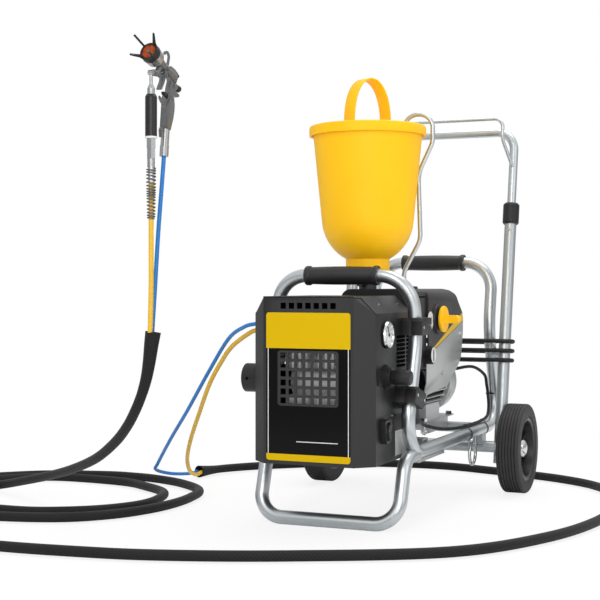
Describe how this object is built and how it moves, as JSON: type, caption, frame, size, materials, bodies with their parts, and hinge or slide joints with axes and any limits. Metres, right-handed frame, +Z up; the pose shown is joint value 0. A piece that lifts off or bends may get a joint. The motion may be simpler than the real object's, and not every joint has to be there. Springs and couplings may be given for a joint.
{
  "type": "airless paint sprayer",
  "caption": "Electric airless paint sprayer with an air compressor box, paint hopper, spray gun and hoses on a two-wheeled tubular cart with a sliding handle.",
  "frame": {"origin": "point of the floor under the middle of the compressor box's front face", "axes": "+X to the sprayer's right side with the controls, +Y from the box's front face to the wheels, +Z up"},
  "size_m": [1.9809, 1.6338, 1.1505],
  "materials": {
    "frame_steel": "bright satin tube",
    "bright_steel": "polished",
    "grip_rubber": "ribbed matte",
    "tyre_rubber": "matte",
    "black_plastic": "matte",
    "box_metal": "satin dark grey",
    "box_dark": "satin dark grey",
    "yellow_paint": "printed panel",
    "cast_metal": "cast",
    "black_paint": "matte black",
    "brass_fitting": "plated",
    "hood_plastic": "satin",
    "silver_sheet": "silver paint",
    "motor_metal": "painted cast fins",
    "base_metal": "silver paint",
    "dark_metal": "painted",
    "yellow_plastic": "satin yellow",
    "gun_metal": "grey satin",
    "orange_plastic": "matte",
    "yellow_hose": "satin",
    "blue_hose": "satin",
    "sheath_fabric": "braided",
    "cord_rubber": "matte"
  },
  "bodies": {
    "cart": {"front_hoop": "frame_steel", "rear_hoop": "frame_steel", "front_foot": "frame_steel", "rear_frame": "frame_steel", "cross_members": "frame_steel", "hoop_grips": "grip_rubber", "clamp_sleeves": "black_plastic", "axle": "bright_steel", "front_cover": "box_metal", "body_shell": "box_dark", "front_panel": "yellow_paint", "compressor": "cast_metal", "intake_silencer": "black_plastic", "gauge_case": "bright_steel", "regulator_body": "black_plastic", "switch_bezel": "black_plastic", "tube_clamps": "black_plastic", "air_outlets": "brass_fitting", "screws": "bright_steel", "pump_hood": "hood_plastic", "side_cover": "silver_sheet", "motor": "motor_metal", "fan_cowl": "silver_sheet", "motor_base": "base_metal", "pump_head": "dark_metal", "return_pipe": "frame_steel", "hopper": "yellow_plastic", "gun_body": "gun_metal", "paint_tube": "bright_steel", "spring_guard": "bright_steel", "paint_hose_gun": "yellow_hose", "air_hose_gun": "blue_hose", "hose_sheath": "sheath_fabric", "paint_hose_box": "yellow_hose", "air_hose_box": "blue_hose", "power_cord": "cord_rubber", "power_plug": "cord_rubber", "link_cable": "cord_rubber"},
    "handle": {"handle_tube": "frame_steel", "hose_hanger": "frame_steel"},
    "button_left": {"snap_button_left": "bright_steel"},
    "button_right": {"snap_button_right": "bright_steel"},
    "wheel_left": {"tyre_left": "tyre_rubber", "rim_left": "black_plastic"},
    "wheel_right": {"tyre_right": "tyre_rubber", "rim_right": "black_plastic"},
    "lashing_ring": {"tie_ring": "bright_steel"},
    "needle": {"gauge_needle": "black_paint"},
    "regulator": {"regulator_knob": "black_plastic"},
    "switch": {"rocker": "black_plastic"},
    "pressure_dial": {"pressure_knob": "yellow_plastic"},
    "relief_dial": {"relief_knob": "black_plastic"},
    "lid": {"hopper_lid": "yellow_plastic"},
    "trigger_lever": {"trigger": "gun_metal"},
    "lock_lever": {"trigger_lock": "black_plastic"},
    "air_nut": {"air_cap": "bright_steel"},
    "guard": {"tip_guard": "black_plastic", "tip_insert": "orange_plastic"},
    "fan_valve": {"fan_knob": "black_plastic"},
    "air_valve": {"air_knob": "black_plastic"}
  },
  "joints": [
    {"name": "handle_slide", "type": "slide", "parent": "cart", "child": "handle", "axis": [0, 0.1874, 0.9823], "range_m": [-0.095, 0.24]},
    {"name": "button_left_press", "type": "slide", "parent": "cart", "child": "button_left", "axis": [0, 0.9823, -0.1874], "range_m": [0, 0.0012], "stiffness_N_per_m": 800, "springref_m": -0.003},
    {"name": "button_right_press", "type": "slide", "parent": "cart", "child": "button_right", "axis": [0, 0.9823, -0.1874], "range_m": [0, 0.0012], "stiffness_N_per_m": 800, "springref_m": -0.003},
    {"name": "wheel_left_spin", "type": "hinge", "parent": "cart", "child": "wheel_left", "pos_m": [-0.2915, 0.828, 0.125], "axis": [1, 0, 0], "continuous": true},
    {"name": "wheel_right_spin", "type": "hinge", "parent": "cart", "child": "wheel_right", "pos_m": [0.2915, 0.828, 0.125], "axis": [1, 0, 0], "continuous": true},
    {"name": "ring_swing", "type": "hinge", "parent": "cart", "child": "lashing_ring", "pos_m": [0.181, 0.757, 0.134], "axis": [1, 0, 0], "range_deg": [-25, 25]},
    {"name": "needle_sweep", "type": "hinge", "parent": "cart", "child": "needle", "pos_m": [0.1624, 0.109, 0.468], "axis": [-1, 0, 0], "range_deg": [0, 260], "stiffness_Nm_per_rad": 0.002, "springref_deg": -28.65},
    {"name": "regulator_turn", "type": "hinge", "parent": "cart", "child": "regulator", "pos_m": [0.19, 0.108, 0.368], "axis": [1, 0, 0], "range_deg": [-150, 150]},
    {"name": "switch_tilt", "type": "hinge", "parent": "cart", "child": "switch", "pos_m": [0.162, 0.09, 0.241], "axis": [0, 1, 0], "range_deg": [-9, 9]},
    {"name": "pressure_turn", "type": "hinge", "parent": "cart", "child": "pressure_dial", "pos_m": [0.17, 0.528, 0.495], "axis": [1, 0, 0], "range_deg": [-180, 90]},
    {"name": "relief_turn", "type": "hinge", "parent": "cart", "child": "relief_dial", "pos_m": [0.16, 0.425, 0.405], "axis": [1, 0, 0], "range_deg": [0, 90]},
    {"name": "lid_lift", "type": "slide", "parent": "cart", "child": "lid", "axis": [0, 0, 1], "range_m": [0, 0.3]},
    {"name": "trigger_pull", "type": "hinge", "parent": "cart", "child": "trigger_lever", "pos_m": [-0.291, -0.169, 1.068], "axis": [1, 0, 0], "range_deg": [0, 10], "stiffness_Nm_per_rad": 1, "springref_deg": -11.46},
    {"name": "lock_swing", "type": "hinge", "parent": "cart", "child": "lock_lever", "pos_m": [-0.291, -0.141, 1.015], "axis": [1, 0, 0], "range_deg": [0, 12]},
    {"name": "air_nut_turn", "type": "hinge", "parent": "cart", "child": "air_nut", "pos_m": [-0.291, -0.124, 1.071], "axis": [0, -0.9336, 0.3584], "range_deg": [-180, 180]},
    {"name": "guard_turn", "type": "hinge", "parent": "cart", "child": "guard", "pos_m": [-0.291, -0.124, 1.071], "axis": [0, -0.9336, 0.3584], "range_deg": [-90, 90]},
    {"name": "fan_valve_turn", "type": "hinge", "parent": "cart", "child": "fan_valve", "pos_m": [-0.291, -0.11934, 1.08314], "axis": [0, -0.9336, 0.3584], "range_deg": [-180, 180]},
    {"name": "air_valve_turn", "type": "hinge", "parent": "cart", "child": "air_valve", "pos_m": [-0.291, -0.112, 1.0489], "axis": [0, 0.9889, -0.1483], "range_deg": [-180, 180]}
  ]
}
